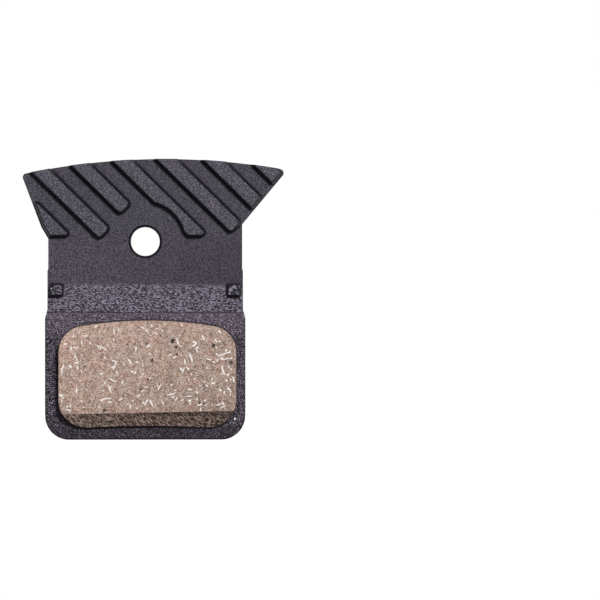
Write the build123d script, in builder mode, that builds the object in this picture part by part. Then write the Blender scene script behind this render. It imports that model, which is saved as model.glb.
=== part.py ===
"""Finned bicycle disc brake pad: a die-cast backing plate and its bonded friction block.

Frame, in millimetres: the origin is the centre of the axle bore, halfway through the neck.
+X is to the right as seen from the friction side, +Z is up towards the fins, and the friction
face looks along -Y. Sketches lie in XZ planes, so a positive height points to the front.
"""

import os
from math import cos, radians, sin, sqrt, tan

from build123d import *

# Plate: thicknesses, and widths from the neck down
NECK_THICKNESS = 1.6
PLATE_THICKNESS = 2.0
BACK_STEP = 0.06  # the lower back stands this much proud of the neck's back
NECK_WIDTH = 24.2
SHOULDER_WIDTH = 24.4
PLATE_WIDTH = 25.0
SHOULDER_DROP = 3.7  # bore axis down to the shoulder
SHOULDER_LENGTH = 4.8
STEP_LENGTH = 0.3  # slight step from neck to shoulder
FLARE_LENGTH = 1.1  # slope from shoulder to plate
PLATE_DROP = 24.75  # bore axis down to the bottom edge
PLATE_CORNER_RADIUS = 3.0
PLATE_EDGE_RADIUS = 0.2
RAMP_DROP = 5.3  # bore axis down to the ramp between the two front levels
RAMP_LENGTH = 3.55

# Axle bore
BORE_DIAMETER = 3.6
BORE_EDGE_BREAK = 0.3

# Wings: a long arc on top, and edges that overhang the neck on both sides
CROWN_RADIUS = 84.5
CROWN_HEIGHT = 10.3  # bore axis up to the crown of the arc
CROWN_OFFSET = 2.5  # the crown lies this far right of the bore
LEFT_OVERHANG = 3.36
LEFT_TIP_RADIUS = 0.5
LEFT_HEEL_OVERHANG = 0.85
LEFT_HEEL_HEIGHT = 1.76
LEFT_ROOT_HEIGHT = 0.35
RIGHT_OVERHANG = 5.63
RIGHT_TIP_RADIUS = 0.5
RIGHT_ROOT_HEIGHT = 2.15

# Front ribs: slanted bands, counted from the left wing
RIB_ANGLE = -44.5
RIB_PITCH = 4.01
FIRST_RIB = -6.87  # distance of the first rib's centre line from the bore
FIRST_RIB_WIDENING = 1.4  # the first rib runs on to the left wing's edge
RIB_BASE_WIDTH = 2.25
RIB_HEIGHT = 1.2
RIB_DRAFT = 10.0
RIB_EDGE_BREAK = 0.15
RIB_END_RADIUS = 0.7
RIB_RIM = 0.15  # ribs stay this far inside the wings' side edges
RIB_RIM_RADIUS = 0.4

# Where each rib ends along its line; the last two run on to the right wing's edge
RIB_ENDS = [-7.3, -4.1, -4.4, 4.75, 7.05, 20.0, 20.0]

# Ribs that are cut off level above the bore axis, and round the bore
STOPPED_RIBS = [0, 3]
RIB_KEEP_OUT_RADIUS = 4.75
RIB_FLOOR = 0.5
RIB_STOP_RADIUS = 0.5

# Square nubs on the shoulder
NUB_WIDTH = 1.75
NUB_LENGTH = 1.55
NUB_HEIGHT = 1.3
NUB_DRAFT = 5.0
NUB_SIDE_MARGIN = 0.25
NUB_DROP = 6.05  # bore axis down to the nubs' centres
NUB_EDGE_BREAK = 0.06

# Back fins and ejector posts: slanted lines, counted from the left wing
FIN_ANGLE = -43.0
FIN_PITCH = 3.77
FIRST_FIN = -6.6  # distance of the first line from the bore
FIN_HEIGHT = 5.2
FIN_TOP_WIDTH = 1.45
FIN_DRAFT = 5.5
POST_HEIGHT = 5.4
POST_TOP_RADIUS = 1.05
POST_DRAFT = 8.0
FIN_EDGE_BREAK = 0.12  # along the tops of fins and posts
FIN_ROOT_FLARE = 0.3  # along their feet

# Each fin: its line, and where its ridge starts and ends along that line
FIN_RIDGES = [
    (1, -14.4, -5.3),
    (1.9, -11.9, -6.0),
    (3, -7.8, -2.35),
    (4, -3.9, 6.4),
    (4.95, 0.5, 6.9),
    (6, 5.4, 8.0),
]

# Each post: its line, and its place along that line
FIN_POSTS = [
    (0, -10.5),
    (1, -14.4),
    (2, -6.0),
    (3, -7.8),
    (3.2, 3.0),
    (4, 6.4),
    (5, 2.2),
    (6, 6.4),
]

# Fine marks on the back: round pins near the corners, a round insert, and upright slots
MARK_LINE = 0.2
MARK_DEPTH = 0.06
PIN_RADIUS = 1.9
PIN_SIDE_MARGIN = 3.0
UPPER_PIN_DROP = 7.5
LOWER_PIN_RISE = 2.7  # above the bottom edge
INSERT_OFFSET = -4.75
SLOT_LENGTH = 4.9
SLOT_WIDTH = 2.1
SLOT_SIDE_MARGIN = 2.2
SLOT_RISE = 8.1  # above the bottom edge

# Friction block: placed on the plate by its margins
BLOCK_THICKNESS = 2.0
BLOCK_SIDE_MARGIN = 1.45
BLOCK_OFFSET = 0.27  # the block sits this far right of the plate's middle
BLOCK_BOTTOM_MARGIN = 1.25
BLOCK_LENGTH = 13.63
BLOCK_CROWN_RADIUS = 50.0
BLOCK_WAIST_RISE = 0.5  # the bottom edge curves up towards its middle
BLOCK_TOP_CORNER_RADIUS = 3.3
BLOCK_BOTTOM_CORNER_RADIUS = 3.5
BLOCK_SLOPE_RISE = 2.18  # slope ground along the lower edge, from here down
BLOCK_SLOPE_LENGTH = 2.1
BLOCK_SLOPE_TILT = 1.1  # the slope reaches lower on the left
BLOCK_LAND = 0.4  # wall left below the slope

# Heights of the faces, counted towards the front
NECK_FRONT = NECK_THICKNESS / 2
NECK_BACK = -NECK_THICKNESS / 2
PLATE_BACK = NECK_BACK - BACK_STEP
PLATE_FRONT = PLATE_BACK + PLATE_THICKNESS
BLOCK_FRONT = PLATE_FRONT + BLOCK_THICKNESS

FAR = 4 * PLATE_DROP  # reach of the cutting shapes, well past the plate
PICK_TOLERANCE = 0.001

os.makedirs("parts", exist_ok=True)


def arc_drop(radius, reach):
    """How far an arc falls below its crown, at a reach to one side of it."""
    return radius - sqrt(radius**2 - reach**2)


def slanted(angle, along, across):
    """The point that lies along and across a slanted line through the bore."""
    turn = radians(angle)
    return (along * cos(turn) - across * sin(turn), along * sin(turn) + across * cos(turn))


def at_level(start, end, level):
    """The point at one level on the line through two points."""
    share = (level - start[1]) / (end[1] - start[1])
    return (start[0] + share * (end[0] - start[0]), level)


def fin_point(line, along):
    """A point on one of the fins' lines."""
    return slanted(FIN_ANGLE, along, FIRST_FIN + FIN_PITCH * line)


def at_height(shapes, height):
    """The edges or faces that lie at one height."""
    depth = -height
    return shapes.filter_by_position(Axis.Y, depth - PICK_TOLERANCE, depth + PICK_TOLERANCE)


# Outline of the plate, seen from the front
with BuildSketch(Plane.XZ) as outline:
    with BuildLine():
        half_neck = NECK_WIDTH / 2
        half_shoulder = SHOULDER_WIDTH / 2
        half_plate = PLATE_WIDTH / 2
        shoulder_z = -SHOULDER_DROP
        flare_z = shoulder_z - SHOULDER_LENGTH
        plate_z = flare_z - FLARE_LENGTH
        left_x = -half_neck - LEFT_OVERHANG
        right_x = half_neck + RIGHT_OVERHANG
        left_tip = (left_x, CROWN_HEIGHT - arc_drop(CROWN_RADIUS, left_x - CROWN_OFFSET))
        left_heel = (-half_neck - LEFT_HEEL_OVERHANG, LEFT_HEEL_HEIGHT)
        left_root = (-half_neck, LEFT_ROOT_HEIGHT)
        right_tip = (right_x, CROWN_HEIGHT - arc_drop(CROWN_RADIUS, right_x - CROWN_OFFSET))
        right_root = (half_neck, RIGHT_ROOT_HEIGHT)
        ThreePointArc(left_tip, (CROWN_OFFSET, CROWN_HEIGHT), right_tip)
        Polyline(
            right_tip,
            right_root,
            (half_neck, shoulder_z + STEP_LENGTH),
            (half_shoulder, shoulder_z),
            (half_shoulder, flare_z),
            (half_plate, plate_z),
            (half_plate, -PLATE_DROP),
            (-half_plate, -PLATE_DROP),
            (-half_plate, plate_z),
            (-half_shoulder, flare_z),
            (-half_shoulder, shoulder_z),
            (-half_neck, shoulder_z + STEP_LENGTH),
            left_root,
            left_heel,
            left_tip,
        )
    make_face()
    fillet(outline.vertices().group_by(Axis.Y)[0], PLATE_CORNER_RADIUS)
    fillet(outline.vertices().sort_by(Axis.X)[0], LEFT_TIP_RADIUS)
    fillet(outline.vertices().sort_by(Axis.X)[-1], RIGHT_TIP_RADIUS)

# Side section of the plate: the ramp of the front and the slight step of the back
with BuildSketch(Plane.YZ) as section:
    with BuildLine():
        Polyline(
            (-NECK_BACK, FAR),
            (-NECK_BACK, shoulder_z),
            (-PLATE_BACK, shoulder_z - BACK_STEP),
            (-PLATE_BACK, -FAR),
            (-PLATE_FRONT, -FAR),
            (-PLATE_FRONT, -RAMP_DROP - RAMP_LENGTH),
            (-NECK_FRONT, -RAMP_DROP),
            (-NECK_FRONT, FAR),
            close=True,
        )
    make_face()

# Sheet that the wings' ribs and fins stand on, before it is cut to the outline
with BuildPart() as wing_sheet:
    with BuildSketch(Plane.XZ.offset(NECK_BACK)):
        with Locations((0, shoulder_z)):
            Rectangle(FAR, FAR, align=(Align.CENTER, Align.MIN))
    extrude(amount=NECK_THICKNESS)

# Front ribs: plans at their feet, below their broken edges and at their tops
rib_shoulder = RIB_HEIGHT - RIB_EDGE_BREAK
rib_wall = rib_shoulder * tan(radians(RIB_DRAFT))
rib_steps = [(0, 0), (rib_shoulder, rib_wall), (RIB_HEIGHT, rib_wall + RIB_EDGE_BREAK)]
rib_plans = []
for rise, inset in rib_steps:
    rib_plane = Plane.XZ.offset(NECK_FRONT + rise)
    with BuildSketch(rib_plane) as rib_field:
        with BuildLine():
            Polyline(
                left_root,
                left_heel,
                at_level(left_heel, left_tip, FAR),
                at_level(right_root, right_tip, FAR),
                right_root,
                (half_neck, shoulder_z),
                (-half_neck, shoulder_z),
                close=True,
            )
        make_face()
        offset(amount=-RIB_RIM - inset)
    for number, end in enumerate(RIB_ENDS):
        widening = FIRST_RIB_WIDENING if number == 0 else 0
        across = FIRST_RIB + RIB_PITCH * number - widening / 2
        with BuildSketch(rib_plane) as rib_plan:
            with Locations(slanted(RIB_ANGLE, end - inset - FAR / 2, across)):
                Rectangle(FAR, RIB_BASE_WIDTH + widening - 2 * inset, rotation=RIB_ANGLE)
            end_radius = RIB_END_RADIUS
            if number in STOPPED_RIBS:
                end_radius = RIB_STOP_RADIUS
                Circle(RIB_KEEP_OUT_RADIUS + inset, mode=Mode.SUBTRACT)
                with Locations((0, RIB_FLOOR + inset)):
                    Rectangle(FAR, FAR, align=(Align.CENTER, Align.MAX), mode=Mode.SUBTRACT)
            corners = rib_plan.vertices().filter_by_position(Axis.Y, 0, CROWN_HEIGHT)
            end_corners = corners.filter_by_position(Axis.X, -half_neck, right_x)
            if end_corners:
                fillet(end_corners, end_radius - inset)
            add(rib_field.sketch_local, mode=Mode.INTERSECT)
            corners = rib_plan.vertices().filter_by_position(Axis.Y, RIGHT_ROOT_HEIGHT, right_tip[1])
            rim_corners = [corner for corner in corners if abs(corner.X) > half_neck]
            if rim_corners:
                fillet(rim_corners, RIB_RIM_RADIUS - inset)
        rib_plans.append(rib_plan.sketch)

# Front ribs: drafted between their plans, and cut off along the crown
with BuildPart() as ribs:
    add(wing_sheet.part)
    for lower, upper in zip(rib_plans, rib_plans[len(RIB_ENDS):]):
        loft([lower, upper], ruled=True)
    extrude(outline.sketch, amount=FAR, both=True, mode=Mode.INTERSECT)

# Back fins: drafted slots that rise from the wings, cut off at the wings' edges
with BuildPart() as fins:
    add(wing_sheet.part)
    fin_base_width = FIN_TOP_WIDTH + 2 * FIN_HEIGHT * tan(radians(FIN_DRAFT))
    for line, start, end in FIN_RIDGES:
        for rise, width in ((0, fin_base_width), (FIN_HEIGHT, FIN_TOP_WIDTH)):
            with BuildSketch(Plane.XZ.offset(NECK_BACK - rise)):
                with Locations(fin_point(line, (start + end) / 2)):
                    SlotCenterToCenter(end - start, width, rotation=FIN_ANGLE)
        loft(ruled=True)
    chamfer(at_height(fins.edges(), NECK_BACK - FIN_HEIGHT), FIN_EDGE_BREAK)
    roots = at_height(fins.faces(), NECK_BACK)[0].inner_wires()
    chamfer([edge for root in roots for edge in root.edges()], FIN_ROOT_FLARE)
    extrude(outline.sketch, amount=FAR, both=True, mode=Mode.INTERSECT)

# Ejector posts: drafted studs with a flared foot, on the fins and between them
with BuildPart() as post:
    with BuildSketch(Plane.XY) as post_profile:
        with BuildLine():
            base_radius = POST_TOP_RADIUS + POST_HEIGHT * tan(radians(POST_DRAFT))
            foot_radius = base_radius + FIN_ROOT_FLARE
            post_root = (base_radius, -NECK_BACK)
            post_rim = (POST_TOP_RADIUS, POST_HEIGHT - NECK_BACK)
            Polyline(
                (0, -NECK_FRONT),
                (foot_radius, -NECK_FRONT),
                (foot_radius, -NECK_BACK),
                post_root,
                post_rim,
                (0, POST_HEIGHT - NECK_BACK),
                close=True,
            )
        make_face()
        chamfer(post_profile.vertices().sort_by_distance(post_root)[0], FIN_ROOT_FLARE)
        chamfer(post_profile.vertices().sort_by_distance(post_rim)[0], FIN_EDGE_BREAK)
    revolve(axis=Axis.Y)

with BuildPart() as posts:
    with Locations([(x, 0, z) for x, z in (fin_point(*place) for place in FIN_POSTS)]):
        add(post.part)
    extrude(outline.sketch, amount=FAR, both=True, mode=Mode.INTERSECT)

# Fine rings that pins, slots and an insert leave on the back
with BuildSketch(Plane.XZ.offset(PLATE_BACK)) as marks:
    pin_x = half_plate - PIN_SIDE_MARGIN
    slot_x = half_plate - SLOT_SIDE_MARGIN
    lower_pin_z = LOWER_PIN_RISE - PLATE_DROP
    slot_z = SLOT_RISE - PLATE_DROP
    with Locations((-pin_x, -UPPER_PIN_DROP), (pin_x, -UPPER_PIN_DROP)):
        Circle(PIN_RADIUS)
    with Locations((-pin_x, lower_pin_z), (pin_x, lower_pin_z)):
        Circle(PIN_RADIUS)
    with Locations((INSERT_OFFSET, -UPPER_PIN_DROP)):
        Circle(PIN_RADIUS)
    with Locations((-slot_x, slot_z), (slot_x, slot_z)):
        SlotOverall(SLOT_LENGTH, SLOT_WIDTH, rotation=90)
    offset(amount=-MARK_LINE, mode=Mode.SUBTRACT)

# Backing plate: one casting
with BuildPart() as backing_plate:
    extrude(outline.sketch, amount=FAR, both=True)
    extrude(section.sketch, amount=FAR, both=True, mode=Mode.INTERSECT)
    lower_edges = backing_plate.edges().filter_by_position(Axis.Z, -PLATE_DROP, plate_z)
    fillet(lower_edges.filter_by(Axis.Y, reverse=True), PLATE_EDGE_RADIUS)
    add(ribs.part)
    add(fins.part)
    add(posts.part)
    with BuildSketch(Plane.XZ.offset(NECK_FRONT)):
        nub_x = half_shoulder - NUB_SIDE_MARGIN - NUB_WIDTH / 2
        with Locations((-nub_x, -NUB_DROP), (nub_x, -NUB_DROP)):
            Rectangle(NUB_WIDTH, NUB_LENGTH)
    extrude(amount=NUB_HEIGHT, taper=NUB_DRAFT)
    chamfer(at_height(backing_plate.edges(), NECK_FRONT + NUB_HEIGHT), NUB_EDGE_BREAK)
    extrude(marks.sketch, amount=MARK_DEPTH, mode=Mode.SUBTRACT)
    with BuildSketch(Plane.XZ.offset(NECK_BACK)):
        Circle(BORE_DIAMETER / 2)
    extrude(amount=NECK_THICKNESS, mode=Mode.SUBTRACT)
    bore_rims = backing_plate.edges().filter_by(GeomType.CIRCLE).sort_by_distance((0, 0, 0))[:2]
    chamfer(bore_rims, BORE_EDGE_BREAK)
backing_plate.part.label = "backing_plate"
export_step(backing_plate.part, "parts/backing_plate.step")

# Friction block: a flat compound with an arched top, a waisted bottom and a ground slope
with BuildPart() as friction_block:
    with BuildSketch(Plane.XZ.offset(PLATE_FRONT)) as block_plan:
        with BuildLine():
            half_block = half_plate - BLOCK_SIDE_MARGIN
            left = BLOCK_OFFSET - half_block
            right = BLOCK_OFFSET + half_block
            bottom = BLOCK_BOTTOM_MARGIN - PLATE_DROP
            crown = bottom + BLOCK_LENGTH
            top = crown - arc_drop(BLOCK_CROWN_RADIUS, half_block)
            waist = bottom + BLOCK_WAIST_RISE
            ThreePointArc((left, top), (BLOCK_OFFSET, crown), (right, top))
            Line((right, top), (right, bottom))
            ThreePointArc((right, bottom), (BLOCK_OFFSET, waist), (left, bottom))
            Line((left, bottom), (left, top))
        make_face()
        fillet(block_plan.vertices().group_by(Axis.Y)[-1], BLOCK_TOP_CORNER_RADIUS)
        fillet(block_plan.vertices().group_by(Axis.Y)[0], BLOCK_BOTTOM_CORNER_RADIUS)
    extrude(amount=BLOCK_THICKNESS)
    with BuildSketch(Plane.YZ.rotated((0, -BLOCK_SLOPE_TILT, 0))):
        with BuildLine():
            slope_top = bottom + BLOCK_SLOPE_RISE
            slope_foot = -PLATE_FRONT - BLOCK_LAND
            Polyline(
                (-BLOCK_FRONT, slope_top),
                (slope_foot, slope_top - BLOCK_SLOPE_LENGTH),
                (slope_foot, -FAR),
                (-FAR, -FAR),
                (-FAR, slope_top),
                close=True,
            )
        make_face()
    extrude(amount=FAR, both=True, mode=Mode.SUBTRACT)
friction_block.part.label = "friction_block"
export_step(friction_block.part, "parts/friction_block.step")
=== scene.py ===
"""Looks of the finned brake pad: coat, friction compound, fibres, studio light and camera."""

import math
import random

import bpy
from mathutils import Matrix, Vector


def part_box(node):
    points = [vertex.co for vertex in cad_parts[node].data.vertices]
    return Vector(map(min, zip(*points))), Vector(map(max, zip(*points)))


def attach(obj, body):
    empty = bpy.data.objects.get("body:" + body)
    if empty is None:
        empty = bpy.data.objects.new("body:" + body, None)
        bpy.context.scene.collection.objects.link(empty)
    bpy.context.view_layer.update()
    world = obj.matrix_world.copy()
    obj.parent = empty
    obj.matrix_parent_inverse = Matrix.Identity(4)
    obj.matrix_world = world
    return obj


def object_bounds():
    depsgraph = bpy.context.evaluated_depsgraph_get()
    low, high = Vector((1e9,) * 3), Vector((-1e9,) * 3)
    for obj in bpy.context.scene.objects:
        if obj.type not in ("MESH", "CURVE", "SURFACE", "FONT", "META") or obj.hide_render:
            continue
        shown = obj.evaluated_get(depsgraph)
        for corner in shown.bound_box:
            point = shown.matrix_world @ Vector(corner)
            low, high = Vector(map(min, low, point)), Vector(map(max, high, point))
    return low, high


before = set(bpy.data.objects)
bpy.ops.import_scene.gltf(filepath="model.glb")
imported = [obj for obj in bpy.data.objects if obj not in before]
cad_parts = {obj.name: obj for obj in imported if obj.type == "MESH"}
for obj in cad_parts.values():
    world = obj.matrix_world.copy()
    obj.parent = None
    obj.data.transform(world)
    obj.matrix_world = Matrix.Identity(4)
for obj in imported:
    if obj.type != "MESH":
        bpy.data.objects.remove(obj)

cad_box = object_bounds()

MM = 0.001
SEED = 7

# Photograph: frame in pixels, scale at the neck, and where the bore's centre appears
FRAME_PX = 600
PX_PER_MM = 8.0
BORE_PX = (145.3, 241.55)
VIEW_X = 1.0  # the camera stands in front of the pad's middle
VIEW_DISTANCE = 500.0
VIEW_END = 10.0  # metres
SENSOR_WIDTH = 36.0

# Studio: soft boxes above the two faces, and a dim sky, with lengths in metres
KEY_DIRECTION = (0.2, -0.9, 0.34)
BACK_KEY_DIRECTION = (-0.05, 0.97, 0.16)
LAMP_DISTANCE = 0.6
LAMP_SIZE = 0.09
LAMP_POWER = 3.3
SKY = 0.1
WHITE = (1.0, 1.0, 1.0)
BLACK = (0.0, 0.0, 0.0)

# Floor: half its width in metres, and how it fades into white over a distance in millimetres
FLOOR_HALF = 2.0
FLOOR_FADE = (60.0, 160.0)
FLOOR_GLOW = 0.88
FLOOR_GLOW_GAIN = 0.12
FLOOR_SEEN = (0.75, 0.75, 0.75)
FLOOR_UNSEEN = (0.25, 0.25, 0.25)

# Places on the plate, in millimetres of the row frame
NECK_FRONT_Y = -0.8
PLATE_FRONT_Y = -1.14
PLATE_BACK_Y = 0.86
RIB_TOP_Y = -2.0
SHOULDER_Z = -3.7
RAMP_TOP_Z = -5.3
RAMP_FOOT_Z = -8.85
SHELF_Z = -11.5  # below this the front is a narrow rim round the block
BOTTOM_Z = -23.2
NUB_INSIDE_X = 10.1
NUB_Z = (-6.95, -5.15)
FIN_TOP_Y = 6.0

# Borders of the coat's regions: where each one begins and where it is full
WING_BORDER = (-2.0, 2.0)
NECK_BORDER = (2.0, -2.0)
RAISED_BORDER = (RIB_TOP_Y + 0.5, RIB_TOP_Y + 0.2)
RAMP_TOP_BORDER = (RAMP_TOP_Z + 0.5, RAMP_TOP_Z)
RAMP_FOOT_BORDER = (RAMP_FOOT_Z - 0.05, RAMP_FOOT_Z + 0.05)
LOWER_BORDER = (RAMP_FOOT_Z, RAMP_FOOT_Z - 0.3)
SHELF_BORDER = (SHELF_Z - 1.0, SHELF_Z + 1.0)
BOTTOM_BORDER = (BOTTOM_Z + 0.7, BOTTOM_Z)
NUB_BORDER_X = (NUB_INSIDE_X - 0.1, NUB_INSIDE_X)
NUB_BORDER_Y = (RIB_TOP_Y + 0.2, RIB_TOP_Y)
GROOVE_BORDER_Y = (PLATE_BACK_Y - 0.02, PLATE_BACK_Y - 0.04)
GROOVE_BORDER_Z = (SHOULDER_Z - 0.2, SHOULDER_Z - 0.3)
SHOULDER_BORDER_Y = (PLATE_BACK_Y - 0.16, PLATE_BACK_Y - 0.11)
FIN_TOP_BORDER = (FIN_TOP_Y - 0.4, FIN_TOP_Y - 0.2)
POST_TOP_BORDER = (FIN_TOP_Y + 0.05, FIN_TOP_Y + 0.15)

# Narrow lines on the coat: their two sides, and how soft they are
FOOT_LINE = (RAMP_FOOT_Z, RAMP_FOOT_Z + 0.1)
FOOT_LINE_SOFT = 0.08
# The shoulder line on the back is a painted highlight along its small step
SHOULDER_LINE = (SHOULDER_Z - 0.08, SHOULDER_Z + 0.02)
SHOULDER_LINE_SOFT = 0.03
NUB_SOFT = 0.05

# Facing: the normal's share along an axis, from none of a kind of surface to all of it
FRONT_FACING = (-0.5, -0.8)
BACK_FACING = (0.5, 0.8)
FLAT_FACING = (0.8, 0.97)
OUTER_WALL_FACING = (0.05, 0.02)
FACE_FACING = (-0.9, -0.98)
SLOPE_FACING_Y = (-0.4, -0.6)
SLOPE_FACING_Z = (-0.4, -0.55)

# Edges and corners: the reach of their shading in millimetres, and its levels from none to all; on the
# coat, edges and corners are painted dark as shade
COAT_EDGE = 0.14
COMPOUND_EDGE = 0.25
EDGE_SAMPLES = 6
CORNER_SHADE_REACH = 0.45
CORNER_SHADE_SAMPLES = 8
CORNER_SHADE_LEVELS = (0.5, 0.93)
EDGE_SHADE_LEVELS = (0.75, 0.985)
# The back's edges get a painted highlight, in broken stretches
EDGE_HIGHLIGHT_OPENNESS = (0.98, 0.85)

# Wandering noise that breaks up borders and lines: sizes in millimetres, reach, and levels
WANDER_SIZE = 1.2
RAMP_WANDER = 0.7
FOOT_WANDER = 0.12
FOOT_GAP_SIZE = 0.8
FOOT_GAP_LEVELS = (0.42, 0.54)
FOOT_GAP_STRENGTHS = (0.35, 1.0)
EDGE_HIGHLIGHT_LEVELS = (0.35, 0.6)
SHOULDER_LEVELS = (0.4, 0.6)

# Marks drawn out in one direction: heading in degrees down to the right, length and width
FINE_MARKS = (12.0, 0.1, 0.08)
PEBBLE_MARKS = (20.0, 0.15, 0.12)
WORM_MARKS = (14.0, 0.32, 0.085)
LUMP_MARKS = (30.0, 0.4, 0.3)
DUST_MARKS = (25.0, 0.18, 0.15)
GRINDING_MARKS = (40.0, 1.1, 0.115)
MARK_LEAN_X = 0.4  # by depth, so that walls are marked too
MARK_LEAN_Z = 0.5

# Coat: the noise levels at the pits and crests of each grain, and the depth of its relief
FINE_LEVELS = (0.42, 0.64)
PEBBLE_LEVELS = (0.53, 0.67)
WORM_LEVELS = (0.46, 0.66)
LUMP_LEVELS = (0.45, 0.68)
RAISED_COARSENESS = 0.65
GRAIN_DEPTH = 0.03
LUMP_DEPTH = 0.25

# Coat: the brightness of the pits and crests, on the neck and then region by region; the pale crests are
# partly the grain's own tone and partly its glints painted in
NECK_PIT = 0.0
NECK_CREST = 0.125
# The neck's darkening to the right is painted light falloff
NECK_LIGHT_FALLOFF = -0.0025  # the neck is darker to the right, by brightness a millimetre
REGION_BRIGHTNESS = {
    "raised": (0.008, 0.26),
    "ramp": (0.0, 0.34),
    "lower": (0.0, 0.34),
    "shelf": (0.03, 0.4),
    "bottom": (0.0, 0.17),
    "nub": (0.006, 0.3),
    "back": (0.03, 0.115),
    "fin_top": (0.01, 0.095),
    "post_top": (0.02, 0.16),
    # groove: the recessed grooves on the back, painted near black as shade
    "groove": (0.008, 0.012),
    "foot_line": (0.012, 0.04),
}
# Walls are painted darker than the flats, as shade on faces turned from the light; the inner ones near
# black
INNER_WALL_SHADE = 0.009
OUTER_WALL = (0.02, 0.075)
EDGE_HIGHLIGHT_PALE = 0.16
SHOULDER_HIGHLIGHT = 0.2
CLOUD_SIZE = 2.6
CLOUD_GAIN = 0.008

# Coat: tints, which clouds drift between and some regions have of their own
CLOUD_TINTS = ((1.03, 0.865, 1.12), (0.99, 0.86, 1.19))
REGION_TINTS = {
    "wings": (1.0, 0.92, 1.17),
    "ramp": (1.02, 0.865, 1.13),
    "lower": (1.03, 0.835, 1.09),
    "raised": (0.97, 0.9, 1.14),
}
COAT_GLOSS_TINT = (0.93, 0.86, 1.0)
WALL_ROUGHNESS = 0.44
FLAT_ROUGHNESS = 0.5
NUB_GLOSS = -0.25

# Friction face: its margins, and the slope ground along its lower edge
FACE_MARGIN = 0.2
FACE_CORNER = 3.2
FACE_CROWN_RADIUS = 50.0
# The block's paling towards its upper left is painted light falloff
FACE_LIGHT_FALLOFF = (-0.009, 0.0, 0.015)  # the face is paler towards its upper left, by share a millimetre
FACE_LIGHT_FALLOFF_MIDDLE = 1.24
SLOPE_RISE = 2.1
SLOPE_TOP_Z = -21.3
SLOPE_RIM_Z = -22.6

# Compound: sizes of its mottle, levels of its noise, and relief
PATCH_SIZE = 1.3
CLOT_SIZE = 0.5
MOTTLE_LEVELS = (0.36, 0.64)
RAGGED_SIZE = 0.3
RAGGED_REACH = 0.3
CLOT_RELIEF = 0.5
GRINDING_RELIEF = 0.8
COMPOUND_DEPTH = 0.035

# Compound: colours in pairs, from dark to pale
WARM_TONES = ((0.32, 0.2, 0.156), (0.53, 0.355, 0.292))
GREY_TONES = ((0.31, 0.224, 0.18), (0.52, 0.392, 0.326))
SIDE_TONES = ((0.13, 0.09, 0.07), (0.3, 0.22, 0.18))
GRINDING_TONES = ((0.042, 0.025, 0.02), (0.66, 0.485, 0.425))
GRINDING_LEVELS = (0.44, 0.65)

# Compound: layers, each with its levels from none to all, its strength and its colour
PALE_DUST = ((0.52, 0.68), 0.7, (0.8, 0.65, 0.575))
DARK_DUST = ((0.49, 0.31), 0.75, (0.13, 0.08, 0.06))
BROWN_EDGE = ((1.08, 0.98), 0.6, (0.24, 0.145, 0.1))
PALE_EDGE = ((0.96, 0.86), 0.6, (0.66, 0.53, 0.47))
SLOPE_CLOTS = ((0.5, 0.0), 0.35, (0.07, 0.045, 0.034))
SLOPE_DUST = ((0.56, 0.7), 0.45, (0.62, 0.53, 0.47))
SLOPE_CROWN = ((SLOPE_TOP_Z - 1.1, SLOPE_TOP_Z - 0.4), 0.6, (0.045, 0.03, 0.024))
SLOPE_CROWN_WANDER = -0.8
SLOPE_CROWN_SIZE = 0.8
SLOPE_RIM_EDGE = (1.1, 1.0)
SLOPE_RIM_BORDER = (SLOPE_RIM_Z + 0.1, SLOPE_RIM_Z - 0.1)
SLOPE_RIM_STRENGTH = 0.6
SLOPE_RIM_TONE = (0.5, 0.41, 0.36)

# Zooms of the photograph in which the clear fibres and flakes were read
ZOOM = 15.68  # zoomed pixels for each pixel of the photograph
LEFT_ZOOM = (55, 322)  # the zooms' upper left corners, in pixels of the photograph
RIGHT_ZOOM = (150, 330)

# Fibres: the two ends of the clear ones in each zoom, then random ones, bright and faint
LEFT_FIBRES = [
    (920, 110, 935, 200), (1000, 95, 1000, 155), (445, 228, 515, 222), (420, 290, 420, 370),
    (270, 402, 370, 398), (728, 355, 700, 445), (730, 385, 800, 440), (300, 505, 345, 580),
    (300, 650, 380, 630), (140, 660, 95, 820), (220, 675, 270, 725), (890, 608, 965, 625),
    (968, 625, 910, 755), (1145, 580, 1200, 660), (965, 770, 990, 830), (850, 885, 960, 950),
    (705, 825, 765, 800), (830, 980, 890, 1130), (725, 1215, 880, 1195), (1000, 1235, 1060, 1200),
    (1278, 385, 1262, 470), (1440, 405, 1475, 360), (1475, 360, 1505, 410), (1455, 1210, 1400, 1310),
    (1485, 1215, 1535, 1325), (180, 1360, 260, 1410), (1420, 110, 1460, 165), (1185, 1290, 1178, 1370),
]
RIGHT_FIBRES = [
    (60, 40, 130, 75), (415, 140, 450, 240), (670, 180, 735, 215), (735, 215, 660, 265),
    (820, 90, 850, 165), (620, 360, 668, 510), (720, 285, 748, 355), (545, 455, 548, 545),
    (470, 590, 508, 650), (540, 595, 505, 690), (880, 450, 960, 480), (1070, 415, 1245, 350),
    (1115, 475, 1235, 450), (1122, 585, 1170, 710), (1228, 560, 1245, 605), (1303, 730, 1318, 825),
    (1235, 915, 1272, 985), (955, 848, 1022, 830), (588, 938, 655, 934), (180, 850, 120, 950),
    (265, 1030, 410, 995), (560, 1045, 650, 1040), (185, 1105, 222, 1185), (430, 1055, 395, 1115),
    (735, 1192, 822, 1165), (1040, 1190, 1110, 1160), (1110, 1220, 1190, 1195), (1065, 15, 1120, 45),
    (360, 452, 415, 412), (840, 1110, 885, 1105), (1185, 780, 1215, 815),
]
SMALL_FIBRES = 110
FIBRE_LENGTH = (0.15, 0.5)
FIBRE_WIDTH = (0.14, 0.25)
FAINT_FIBRES = 420
FAINT_LENGTH = (0.15, 0.5)
FAINT_WIDTH = (0.06, 0.12)

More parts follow.
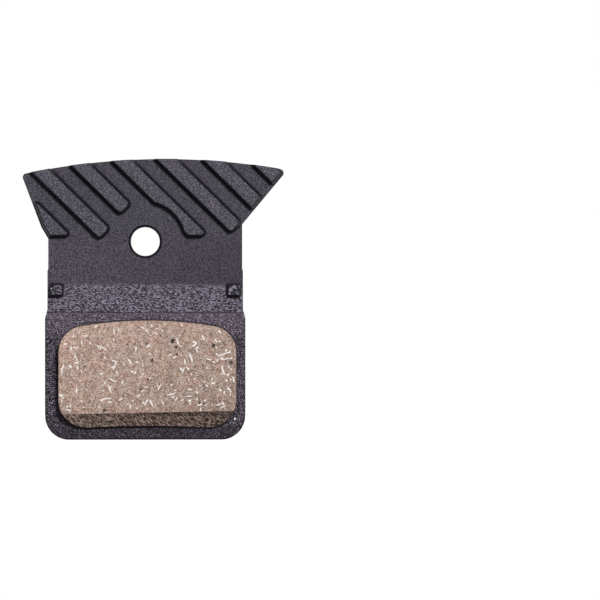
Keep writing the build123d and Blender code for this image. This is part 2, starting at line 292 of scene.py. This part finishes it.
# Fibres: the stretches along one, its bend in radians, and shares of its half width
FIBRE_STRETCHES = 5
FIBRE_BEND = 0.15
FIBRE_TAPER = 0.6
FIBRE_TAPER_POWER = 4
FIBRE_SPINE = 0.3
FIBRE_LIFT = 0.006
PALE_FIBRE = ((0.85, 0.79, 0.74), (1.0, 0.98, 0.96))
FAINT_FIBRE = ((0.42, 0.34, 0.285), (0.72, 0.62, 0.55))
FIBRE_OWN_SHADE = 0.75
FIBRE_CLOUD_SHADE = 0.4
FIBRE_CLOUD_SIZE = 0.3
FIBRE_GRAIN_SIZE = 0.08
FIBRE_GRAIN_DEPTH = 0.01

# Dark flakes: the large ones by place in each zoom and radius in millimetres, and a count of small ones
LEFT_FLAKES = [
    (465, 700, 0.13), (590, 1100, 0.1), (780, 1385, 0.25), (1135, 355, 0.11), (800, 465, 0.1),
    (1435, 350, 0.17), (1525, 605, 0.21), (1345, 1055, 0.15), (1460, 910, 0.11), (195, 435, 0.11),
    (100, 945, 0.12), (160, 1215, 0.1),
]
RIGHT_FLAKES = [
    (360, 180, 0.3), (165, 95, 0.13), (412, 270, 0.2), (425, 385, 0.16), (995, 245, 0.28),
    (1270, 510, 0.26), (840, 880, 0.14), (855, 930, 0.11), (525, 1015, 0.1), (780, 1145, 0.13),
    (850, 1160, 0.11), (955, 1170, 0.1), (1170, 1130, 0.11), (820, 405, 0.09),
]
SMALL_FLAKES = 170
FLAKE_SIZE = (0.04, 0.1)
FLAKE_CORNERS = (6, 9)
FLAKE_REACH = (0.75, 1.3)
FLAKE_RISE = 0.012
FLAKE_SINK = 0.001
FLAKE_TONES = ((0.018, 0.013, 0.011), (0.06, 0.043, 0.036))
FLAKE_CLOUD_SIZE = 0.12
FLAKE_DEPTH = 0.03
CRUMB = (11.2, -22.15, 0.16)  # one pale crumb on the plate beside the block

# Odds that a random place on the face is kept, and what they gain to the right and downwards
PLACE_ODDS = 0.35
PLACE_ODDS_RIGHT = 0.3
PLACE_ODDS_DOWN = 0.35

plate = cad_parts["backing_plate"]
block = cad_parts["friction_block"]
random.seed(SEED)


class Shader:
    """One procedural material, with short calls that add its nodes."""

    def __init__(self, name):
        self.material = bpy.data.materials.new(name)
        self.material.use_nodes = True
        self.tree = self.material.node_tree
        self.bsdf = self.tree.nodes["Principled BSDF"]

    def node(self, kind, inputs=None, **settings):
        made = self.tree.nodes.new("ShaderNode" + kind)
        for key, value in settings.items():
            setattr(made, key, value)
        for key, value in (inputs or {}).items():
            self.feed(made.inputs[key], value)
        return made

    def feed(self, socket, value):
        """Link an output to a socket, or set the socket to a number, a vector or a colour."""
        if isinstance(value, bpy.types.NodeSocket):
            self.tree.links.new(value, socket)
        elif socket.type == "RGBA":
            socket.default_value = (*value, 1.0)
        else:
            socket.default_value = value

    def set(self, inputs):
        for key, value in inputs.items():
            self.feed(self.bsdf.inputs[key], value)

    def place(self):
        """Position in the row frame, in millimetres."""
        coordinates = self.node("TexCoord").outputs["Object"]
        return self.scaled(coordinates, 1 / MM)

    def scaled(self, vector, factor):
        """A vector or a colour times a number."""
        return self.node("VectorMath", {0: vector, "Scale": factor}, operation="SCALE").outputs[0]

    def true_normal(self):
        return self.node("NewGeometry").outputs["True Normal"]

    def axes(self, vector):
        split = self.node("SeparateXYZ", {0: vector})
        return split.outputs["X"], split.outputs["Y"], split.outputs["Z"]

    def math(self, operation, a, b=0.0, c=0.0):
        return self.node("Math", {0: a, 1: b, 2: c}, operation=operation).outputs[0]

    def both(self, *factors):
        """Product of several masks."""
        made = factors[0]
        for factor in factors[1:]:
            made = self.math("MULTIPLY", made, factor)
        return made

    def blend(self, base, factor, amount):
        """Base plus factor times amount."""
        return self.math("MULTIPLY_ADD", factor, amount, base)

    def dot(self, a, b):
        return self.node("VectorMath", {0: a, 1: b}, operation="DOT_PRODUCT").outputs["Value"]

    def step(self, value, start, end, low=0.0, high=1.0):
        """A smooth step from low to high between two values."""
        inputs = {"Value": value, "From Min": start, "From Max": end, "To Min": low, "To Max": high}
        return self.node("MapRange", inputs, interpolation_type="SMOOTHSTEP").outputs["Result"]

    def band(self, value, start, end, soft):
        """1 between two values, with soft ends."""
        return self.both(self.step(value, start - soft, start), self.step(value, end + soft, end))

    def noise(self, vector, size, detail=2.0, rough=0.5, distortion=0.0):
        """Noise whose features measure about size millimetres."""
        inputs = {"Vector": vector, "Scale": 1 / size, "Detail": detail}
        inputs.update({"Roughness": rough, "Distortion": distortion})
        return self.node("TexNoise", inputs).outputs["Fac"]

    def marks(self, vector, shape, **settings):
        """Noise drawn out along a line that runs down to the right, in the XZ plane."""
        heading, along, across = shape
        turn = math.radians(heading)
        u = self.dot(vector, (math.cos(turn) / along, 0, -math.sin(turn) / along))
        v = self.dot(vector, (math.sin(turn) / across, 0, math.cos(turn) / across))
        depth = self.dot(vector, (MARK_LEAN_X / along, 1 / across, MARK_LEAN_Z / across))
        drawn_out = self.node("CombineXYZ", {0: u, 1: depth, 2: v}).outputs[0]
        return self.noise(drawn_out, 1.0, **settings)

    def edge(self, radius):
        """Normal rounded over the edges, and its match with the true one, which is 1 on the flat."""
        rounded = self.node("Bevel", {"Radius": radius * MM}, samples=EDGE_SAMPLES).outputs["Normal"]
        return rounded, self.dot(rounded, self.true_normal())

    def toward(self, base, value, mask):
        """A number that goes from base to a value where the mask is 1."""
        return self.node("Mix", {0: mask, 2: base, 3: value}, data_type="FLOAT").outputs[0]

    def mix(self, factor, a, b):
        """A colour that goes from the first to the second where the factor is 1."""
        return self.node("Mix", {0: factor, 6: a, 7: b}, data_type="RGBA").outputs[2]

    def layer(self, base, value, levels, strength, tone):
        """A colour laid over another where a value goes from one level to the next."""
        return self.mix(self.step(value, *levels, 0.0, strength), base, tone)

    def bump(self, height, depth, normal=None):
        """Bump whose full height is depth millimetres."""
        inputs = {"Height": height, "Distance": depth * MM, "Strength": 1.0}
        if normal is not None:
            inputs["Normal"] = normal
        return self.node("Bump", inputs).outputs["Normal"]


def front_masks(coat, place, wander, front):
    """Masks of the regions on the front of the casting."""
    x, y, z = coat.axes(place)
    lower = coat.both(front, coat.step(z, *LOWER_BORDER))
    ramp_top = coat.step(coat.blend(z, wander, RAMP_WANDER), *RAMP_TOP_BORDER)
    nub_side = coat.step(coat.math("ABSOLUTE", x), *NUB_BORDER_X)
    foot = coat.band(coat.blend(z, wander, FOOT_WANDER), *FOOT_LINE, FOOT_LINE_SOFT)
    gaps = coat.step(coat.noise(place, FOOT_GAP_SIZE), *FOOT_GAP_LEVELS, *FOOT_GAP_STRENGTHS)
    return {
        "wings": coat.both(front, coat.step(z, *WING_BORDER)),
        "neck": coat.both(front, coat.step(z, *NECK_BORDER)),
        "raised": coat.both(front, coat.step(y, *RAISED_BORDER)),
        "ramp": coat.both(front, ramp_top, coat.step(z, *RAMP_FOOT_BORDER)),
        "lower": lower,
        "shelf": coat.both(lower, coat.step(z, *SHELF_BORDER)),
        "bottom": coat.both(lower, coat.step(z, *BOTTOM_BORDER)),
        "nub": coat.both(nub_side, coat.band(z, *NUB_Z, NUB_SOFT), coat.step(y, *NUB_BORDER_Y)),
        "foot_line": coat.both(front, foot, gaps),
    }


def back_masks(coat, place, wander, back):
    """Masks of the regions on the back of the casting."""
    y, z = coat.axes(place)[1:]
    # A painted highlight along the small step at the shoulder, in broken stretches
    shoulder = coat.both(
        coat.step(y, *SHOULDER_BORDER_Y),
        coat.band(z, *SHOULDER_LINE, SHOULDER_LINE_SOFT),
        coat.step(wander, *SHOULDER_LEVELS),
    )
    return {
        "back": back,
        # groove: the recessed grooves, which are painted near black as shade
        "groove": coat.both(back, coat.step(z, *GROOVE_BORDER_Z), coat.step(y, *GROOVE_BORDER_Y)),
        "fin_top": coat.both(back, coat.step(y, *FIN_TOP_BORDER)),
        "post_top": coat.both(back, coat.step(y, *POST_TOP_BORDER)),
        "shoulder": shoulder,
    }


def coat_masks(coat, place, openness):
    """Masks of all parts of the casting whose coat looks different."""
    normal_y = coat.axes(coat.true_normal())[1]
    facing = coat.math("ABSOLUTE", normal_y)
    front = coat.step(normal_y, *FRONT_FACING)
    back = coat.step(normal_y, *BACK_FACING)
    # Occlusion finds the corners, and the coat there is painted dark as shade
    reach = {"Distance": CORNER_SHADE_REACH * MM}
    corner_occlusion = coat.node("AmbientOcclusion", reach, samples=CORNER_SHADE_SAMPLES).outputs["AO"]
    clear = coat.step(corner_occlusion, *CORNER_SHADE_LEVELS)
    wander = coat.noise(place, WANDER_SIZE, detail=3.0)
    # A painted highlight on the back's edges, clear of corners, broken by noise
    edge_highlight = coat.both(back, clear, coat.step(openness, *EDGE_HIGHLIGHT_OPENNESS), coat.step(wander, *EDGE_HIGHLIGHT_LEVELS))
    return {
        # flat: open flats with the pale grain; walls, edges and corners outside it are painted dark as
        # shade
        "flat": coat.both(coat.step(facing, *FLAT_FACING), coat.step(openness, *EDGE_SHADE_LEVELS), clear),
        "outer_wall": coat.step(facing, *OUTER_WALL_FACING),
        "painted_edge_highlight": edge_highlight,
        **front_masks(coat, place, wander, front),
        **back_masks(coat, place, wander, back),
    }


def coat_grain(coat, place, masks):
    """How near each place is to a crest of the grain, the grain's relief, and the nubs' lumps."""
    fine = coat.marks(place, FINE_MARKS, detail=1.0, rough=0.6)
    pebble = coat.marks(place, PEBBLE_MARKS, detail=1.0, rough=0.6)
    worm = coat.marks(place, WORM_MARKS, detail=1.0, rough=0.5)
    lump = coat.marks(place, LUMP_MARKS, detail=2.0, distortion=0.4)
    coarse = coat.math("MAXIMUM", masks["lower"], coat.both(masks["raised"], RAISED_COARSENESS))
    crest = coat.toward(coat.step(fine, *FINE_LEVELS), coat.step(pebble, *PEBBLE_LEVELS), coarse)
    crest = coat.toward(crest, coat.step(worm, *WORM_LEVELS), masks["ramp"])
    crest = coat.toward(crest, coat.step(lump, *LUMP_LEVELS), masks["nub"])
    relief = coat.toward(coat.toward(fine, pebble, coarse), worm, masks["ramp"])
    return crest, relief, coat.both(lump, masks["nub"])


def coat_brightness(coat, place, masks, crest, cloud):
    """Brightness of the coat: pale crests on the flats, walls, edges and corners painted dark as shade,
    and a painted highlight on the back's edges here and there and along the shoulder line.
    """
    x = coat.axes(place)[0]
    pit_level = NECK_PIT
    # The neck's crests carry a painted light falloff to the right
    crest_level = coat.blend(NECK_CREST, coat.both(masks["neck"], x), NECK_LIGHT_FALLOFF)
    for region, (region_pit, region_crest) in REGION_BRIGHTNESS.items():
        pit_level = coat.toward(pit_level, region_pit, masks[region])
        crest_level = coat.toward(crest_level, region_crest, masks[region])
    pale = coat.blend(coat.toward(pit_level, crest_level, crest), cloud, CLOUD_GAIN)
    wall = coat.toward(INNER_WALL_SHADE, coat.toward(*OUTER_WALL, crest), masks["outer_wall"])
    made = coat.toward(wall, pale, masks["flat"])
    made = coat.toward(made, EDGE_HIGHLIGHT_PALE, masks["painted_edge_highlight"])
    return coat.toward(made, SHOULDER_HIGHLIGHT, masks["shoulder"])


def coat_tint(coat, masks, cloud):
    """Tint of the coat, a violet black that drifts a little."""
    tint = coat.mix(cloud, *CLOUD_TINTS)
    for region, region_tint in REGION_TINTS.items():
        tint = coat.mix(masks[region], tint, region_tint)
    return tint


def coat_material():
    """Near-black coat: pale grain on the flats with its glints partly painted in, and painted shade on
    walls, edges and corners.
    """
    coat = Shader("coated_casting")
    place = coat.place()
    rounded, openness = coat.edge(COAT_EDGE)
    masks = coat_masks(coat, place, openness)
    crest, relief, lumps = coat_grain(coat, place, masks)
    cloud = coat.noise(place, CLOUD_SIZE, detail=3.0)
    brightness = coat_brightness(coat, place, masks, crest, cloud)
    roughness = coat.toward(WALL_ROUGHNESS, FLAT_ROUGHNESS, masks["flat"])
    coat.set({
        "Base Color": coat.scaled(coat_tint(coat, masks, cloud), brightness),
        "Normal": coat.bump(lumps, LUMP_DEPTH, coat.bump(relief, GRAIN_DEPTH, rounded)),
        "Roughness": coat.blend(roughness, masks["nub"], NUB_GLOSS),
        "Specular IOR Level": 0.12,
        "Specular Tint": COAT_GLOSS_TINT,
    })
    return coat.material


def face_tone(resin, place, clot, dust, ragged):
    """Colour of the friction face: mottled tan, dusty, with ragged edges."""
    patch = resin.step(resin.noise(place, PATCH_SIZE, detail=3.0, rough=0.6), *MOTTLE_LEVELS)
    tone = resin.mix(patch, resin.mix(clot, *WARM_TONES), resin.mix(clot, *GREY_TONES))
    tone = resin.layer(tone, dust, *PALE_DUST)
    tone = resin.layer(tone, dust, *DARK_DUST)
    tone = resin.layer(tone, ragged, *BROWN_EDGE)
    return resin.layer(tone, ragged, *PALE_EDGE)


def slope_tone(resin, place, lines, clot, dust, ragged):
    """Colour of the ground slope: dark grinding lines, a darker top and a pale rim."""
    z = resin.axes(place)[2]
    tone = resin.mix(resin.step(lines, *GRINDING_LEVELS), *GRINDING_TONES)
    tone = resin.layer(tone, clot, *SLOPE_CLOTS)
    tone = resin.layer(tone, dust, *SLOPE_DUST)
    height = resin.blend(z, resin.noise(place, SLOPE_CROWN_SIZE), SLOPE_CROWN_WANDER)
    tone = resin.layer(tone, height, *SLOPE_CROWN)
    rim = resin.both(resin.step(ragged, *SLOPE_RIM_EDGE), resin.step(z, *SLOPE_RIM_BORDER))
    return resin.mix(resin.both(rim, SLOPE_RIM_STRENGTH), tone, SLOPE_RIM_TONE)


def compound_material():
    """Resin compound: mottled tan face, ragged brown edges, and a darker ground slope."""
    resin = Shader("friction_compound")
    place = resin.place()
    normal_y, normal_z = resin.axes(resin.true_normal())[1:]
    face = resin.step(normal_y, *FACE_FACING)
    slope = resin.both(resin.step(normal_z, *SLOPE_FACING_Z), resin.step(normal_y, *SLOPE_FACING_Y))
    rounded, openness = resin.edge(COMPOUND_EDGE)
    ragged = resin.blend(openness, resin.noise(place, RAGGED_SIZE, detail=3.0), RAGGED_REACH)
    clot = resin.step(resin.noise(place, CLOT_SIZE, detail=3.0, rough=0.65), *MOTTLE_LEVELS)
    dust = resin.marks(place, DUST_MARKS, detail=1.0, rough=0.65)
    lines = resin.marks(place, GRINDING_MARKS, detail=2.0, rough=0.6)
    ground = slope_tone(resin, place, lines, clot, dust, ragged)
    side = resin.mix(clot, *SIDE_TONES)
    body = face_tone(resin, place, clot, dust, ragged)
    tone = resin.mix(face, resin.mix(slope, side, ground), body)
    # Painted light falloff over the whole block: paler towards the upper left
    painted_light_falloff = resin.math("ADD", resin.dot(place, FACE_LIGHT_FALLOFF), FACE_LIGHT_FALLOFF_MIDDLE)
    relief = resin.blend(dust, clot, CLOT_RELIEF)
    relief = resin.blend(relief, resin.both(lines, slope), GRINDING_RELIEF)
    resin.set({
        "Base Color": resin.scaled(tone, painted_light_falloff),
        "Normal": resin.bump(relief, COMPOUND_DEPTH, rounded),
        "Roughness": 0.85,
        "Specular IOR Level": 0.05,
    })
    return resin.material


def fibre_material(name, tones):
    """Glassy fibres, each of its own brightness."""
    glass = Shader(name)
    place = glass.place()
    own = glass.node("NewGeometry").outputs["Random Per Island"]
    cloud = glass.noise(place, FIBRE_CLOUD_SIZE)
    shade = glass.blend(glass.both(own, FIBRE_OWN_SHADE), cloud, FIBRE_CLOUD_SHADE)
    glass.set({
        "Base Color": glass.mix(shade, *tones),
        "Normal": glass.bump(glass.noise(place, FIBRE_GRAIN_SIZE), FIBRE_GRAIN_DEPTH),
        "Roughness": 0.5,
        "Specular IOR Level": 0.3,
    })
    return glass.material


def flake_material():
    """Dark flakes of filler, brown-black and dull."""
    filler = Shader("dark_flake")
    cloud = filler.noise(filler.place(), FLAKE_CLOUD_SIZE)
    filler.set({
        "Base Color": filler.mix(cloud, *FLAKE_TONES),
        "Normal": filler.bump(cloud, FLAKE_DEPTH),
        "Roughness": 0.7,
        "Specular IOR Level": 0.2,
    })
    return filler.material


def in_face(x, z):
    """Whether a place lies on the flat of the friction face, clear of its edges."""
    low, high = (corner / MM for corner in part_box("friction_block"))
    aside = abs(x - (low.x + high.x) / 2)
    reach = (high.x - low.x) / 2 - FACE_MARGIN
    bottom = low.z + SLOPE_RISE + FACE_MARGIN
    crown = high.z - FACE_MARGIN - aside**2 / (2 * FACE_CROWN_RADIUS)
    corner = max(0.0, aside - reach + FACE_CORNER)
    bite = FACE_CORNER - math.sqrt(max(0.0, FACE_CORNER**2 - corner**2))
    return aside < reach and bottom < z < crown - bite


def face_places(count):
    """Random places on the face, more of them to the right and towards the bottom."""
    low, high = (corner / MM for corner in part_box("friction_block"))
    places = []
    while len(places) < count:
        x = random.uniform(low.x, high.x)
        z = random.uniform(low.z, high.z)
        right = (x - low.x) / (high.x - low.x)
        down = (high.z - z) / (high.z - low.z)
        odds = PLACE_ODDS + PLACE_ODDS_RIGHT * right + PLACE_ODDS_DOWN * down
        if in_face(x, z) and random.random() < odds:
            places.append((x, z))
    return places


def read_place(corner, zoom_x, zoom_y, face_y):
    """Millimetres on the friction face for a place read in one of the zooms."""
    px_per_mm = PX_PER_MM * VIEW_DISTANCE / (VIEW_DISTANCE + face_y - NECK_FRONT_Y)
    x = (corner[0] + zoom_x / ZOOM - BORE_PX[0]) / px_per_mm
    z = (BORE_PX[1] - corner[1] - zoom_y / ZOOM) / px_per_mm
    return x, z


def fibre(x, z, length, width, heading, face_y):
    """A short bent strand with a raised spine, flush with the face at its rims."""
    bend = random.gauss(0, FIBRE_BEND)
    vertices = []
    for index in range(FIBRE_STRETCHES + 1):
        share = index / FIBRE_STRETCHES - 0.5
        angle = heading + bend * share
        middle_x = x + share * length * math.cos(angle)
        middle_z = z + share * length * math.sin(angle)
        half = width / 2 * (1 - (2 * abs(share)) ** FIBRE_TAPER_POWER * FIBRE_TAPER)
        side_x = -math.sin(angle) * half
        side_z = math.cos(angle) * half
        vertices.append((middle_x + side_x, face_y + FIBRE_LIFT, middle_z + side_z))
        vertices.append((middle_x, face_y - FIBRE_LIFT - half * FIBRE_SPINE, middle_z))
        vertices.append((middle_x - side_x, face_y + FIBRE_LIFT, middle_z - side_z))
    faces = []
    for index in range(FIBRE_STRETCHES):
        first = 3 * index
        faces.append((first, first + 3, first + 4, first + 1))
        faces.append((first + 1, first + 4, first + 5, first + 2))
    return vertices, faces


def clear_fibres(face_y):
    """The fibres that were read one by one, each between its two ends."""
    made = []
    for corner, fibres in ((LEFT_ZOOM, LEFT_FIBRES), (RIGHT_ZOOM, RIGHT_FIBRES)):
        for start_x, start_y, end_x, end_y in fibres:
            start = Vector(read_place(corner, start_x, start_y, face_y))
            end = Vector(read_place(corner, end_x, end_y, face_y))
            run = end - start
            middle = (start + end) / 2
            heading = math.atan2(run.y, run.x) % math.pi
            width = random.uniform(*FIBRE_WIDTH)
            made.append(fibre(middle.x, middle.y, run.length, width, heading, face_y))
    return made


def random_fibres(count, lengths, widths, face_y):
    """Fibres at random places on the face, in all directions."""
    made = []
    for x, z in face_places(count):
        heading = random.uniform(0, math.pi)
        made.append(fibre(x, z, random.uniform(*lengths), random.uniform(*widths), heading, face_y))
    return made


def flake(x, z, size, face_y):
    """A low irregular flake."""
    corners = random.randint(*FLAKE_CORNERS)
    vertices = [(x, face_y - FLAKE_RISE, z)]
    for index in range(corners):
        angle = 2 * math.pi * index / corners
        reach = size * random.uniform(*FLAKE_REACH)
        vertices.append((x + reach * math.cos(angle), face_y + FLAKE_SINK, z + reach * math.sin(angle)))
    faces = [(0, 1 + index, 1 + (index + 1) % corners) for index in range(corners)]
    return vertices, faces


def clear_flakes(face_y):
    """The flakes that were read one by one."""
    made = []
    for corner, flakes in ((LEFT_ZOOM, LEFT_FLAKES), (RIGHT_ZOOM, RIGHT_FLAKES)):
        for zoom_x, zoom_y, size in flakes:
            made.append(flake(*read_place(corner, zoom_x, zoom_y, face_y), size, face_y))
    return made


def random_flakes(count, face_y):
    """Small flakes at random places on the face, most of them near the smallest size."""
    smallest, largest = FLAKE_SIZE
    made = []
    for x, z in face_places(count):
        made.append(flake(x, z, random.triangular(smallest, largest, smallest), face_y))
    return made


def piece(name, parts, material):
    """One mesh piece, joined from many small ones, that rides on the pad."""
    vertices, faces = [], []
    for part_vertices, part_faces in parts:
        base = len(vertices)
        vertices.extend(Vector(vertex) * MM for vertex in part_vertices)
        faces.extend(tuple(base + corner for corner in face) for face in part_faces)
    mesh = bpy.data.meshes.new(name)
    mesh.from_pydata(vertices, [], faces)
    mesh.materials.append(material)
    made = bpy.data.objects.new(name, mesh)
    bpy.context.scene.collection.objects.link(made)
    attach(made, "root")


def add_fibres():
    """Pale fibres, faint ones between them, and dark flakes."""
    face_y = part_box("friction_block")[0].y / MM
    pale = clear_fibres(face_y)
    pale += random_fibres(SMALL_FIBRES, FIBRE_LENGTH, FIBRE_WIDTH, face_y)
    pale.append(flake(*CRUMB, PLATE_FRONT_Y))
    faint = random_fibres(FAINT_FIBRES, FAINT_LENGTH, FAINT_WIDTH, face_y)
    flakes = clear_flakes(face_y) + random_flakes(SMALL_FLAKES, face_y)
    piece("friction_fibres", pale, fibre_material("pale_fibre", PALE_FIBRE))
    piece("faint_fibres", faint, fibre_material("faint_fibre", FAINT_FIBRE))
    piece("friction_flakes", flakes, flake_material())


def seen_ray(tree):
    """Whether a ray comes from the camera, a reflection or a refraction."""
    path = tree.nodes.new("ShaderNodeLightPath")
    made = path.outputs["Is Camera Ray"]
    for name in ("Is Glossy Ray", "Is Transmission Ray"):
        most = tree.nodes.new("ShaderNodeMath")
        most.operation = "MAXIMUM"
        tree.links.new(made, most.inputs[0])
        tree.links.new(path.outputs[name], most.inputs[1])
        made = most.outputs[0]
    return made


def floor_material():
    """White to the eye, dim to the pad's light, and clear from below."""
    paint = Shader("pale_floor")
    distance = paint.node("VectorMath", {0: paint.place()}, operation="LENGTH").outputs["Value"]
    far = paint.step(distance, *FLOOR_FADE)
    glow = paint.node("Emission", {"Strength": paint.blend(FLOOR_GLOW, far, FLOOR_GLOW_GAIN)}).outputs[0]
    matte = paint.node("BsdfDiffuse", {"Color": paint.mix(far, FLOOR_SEEN, BLACK)}).outputs[0]
    seen = paint.node("AddShader", {0: glow, 1: matte}).outputs[0]
    unseen = paint.node("BsdfDiffuse", {"Color": FLOOR_UNSEEN}).outputs[0]
    above = paint.node("MixShader", {0: seen_ray(paint.tree), 1: unseen, 2: seen}).outputs[0]
    below = paint.node("BsdfTransparent").outputs[0]
    backfacing = paint.node("NewGeometry").outputs["Backfacing"]
    surface = paint.node("MixShader", {0: backfacing, 1: above, 2: below}).outputs[0]
    paint.feed(paint.tree.nodes["Material Output"].inputs["Surface"], surface)
    return paint.material


def add_floor():
    """White floor under the pad, which keeps the pad's shadow and is seen from above only."""
    half = FLOOR_HALF
    height = cad_box[0].z
    mesh = bpy.data.meshes.new("floor")
    corners = [(-half, -half, height), (half, -half, height), (half, half, height), (-half, half, height)]
    mesh.from_pydata(corners, [], [(0, 1, 2, 3)])
    mesh.materials.append(floor_material())
    floor = bpy.data.objects.new("floor", mesh)
    bpy.context.scene.collection.objects.link(floor)


def add_world():
    """White where it is seen, dim where it lights the pad."""
    world = bpy.data.worlds.new("studio")
    bpy.context.scene.world = world
    world.use_nodes = True
    tree = world.node_tree
    tree.nodes.clear()
    blend = tree.nodes.new("ShaderNodeMixShader")
    tree.links.new(seen_ray(tree), blend.inputs[0])
    for slot, strength in ((1, SKY), (2, 1.0)):
        shade = tree.nodes.new("ShaderNodeBackground")
        shade.inputs["Color"].default_value = (*WHITE, 1.0)
        shade.inputs["Strength"].default_value = strength
        tree.links.new(shade.outputs[0], blend.inputs[slot])
    output = tree.nodes.new("ShaderNodeOutputWorld")
    tree.links.new(blend.outputs[0], output.inputs["Surface"])


def add_lamp(name, direction):
    """A square soft box that looks at the pad."""
    lamp = bpy.data.lights.new(name, "AREA")
    lamp.size = LAMP_SIZE
    lamp.energy = LAMP_POWER
    holder = bpy.data.objects.new(name, lamp)
    bpy.context.scene.collection.objects.link(holder)
    away = Vector(direction).normalized()
    holder.location = (cad_box[0] + cad_box[1]) / 2 + away * LAMP_DISTANCE
    holder.rotation_mode = "QUATERNION"
    holder.rotation_quaternion = away.to_track_quat("Z", "Y")


def add_camera():
    """The photograph's view: straight on, with the pad left of the middle."""
    data = bpy.data.cameras.new("camera")
    data.sensor_width = SENSOR_WIDTH
    data.lens = SENSOR_WIDTH * VIEW_DISTANCE * PX_PER_MM / FRAME_PX
    data.clip_end = VIEW_END
    camera = bpy.data.objects.new("camera", data)
    bpy.context.scene.collection.objects.link(camera)
    aim_x = (FRAME_PX / 2 - BORE_PX[0]) / PX_PER_MM
    aim_z = (BORE_PX[1] - FRAME_PX / 2) / PX_PER_MM
    aim = Vector((aim_x, NECK_FRONT_Y, aim_z)) * MM
    camera.location = Vector((VIEW_X, NECK_FRONT_Y - VIEW_DISTANCE, aim_z)) * MM
    camera.rotation_mode = "QUATERNION"
    camera.rotation_quaternion = (camera.location - aim).to_track_quat("Z", "Y")
    bpy.context.scene.camera = camera


plate.data.materials.clear()
plate.data.materials.append(coat_material())
block.data.materials.clear()
block.data.materials.append(compound_material())
add_fibres()
add_floor()
add_world()
add_lamp("key", KEY_DIRECTION)
add_lamp("back_key", BACK_KEY_DIRECTION)
add_camera()
bpy.context.scene.view_settings.view_transform = "Standard"
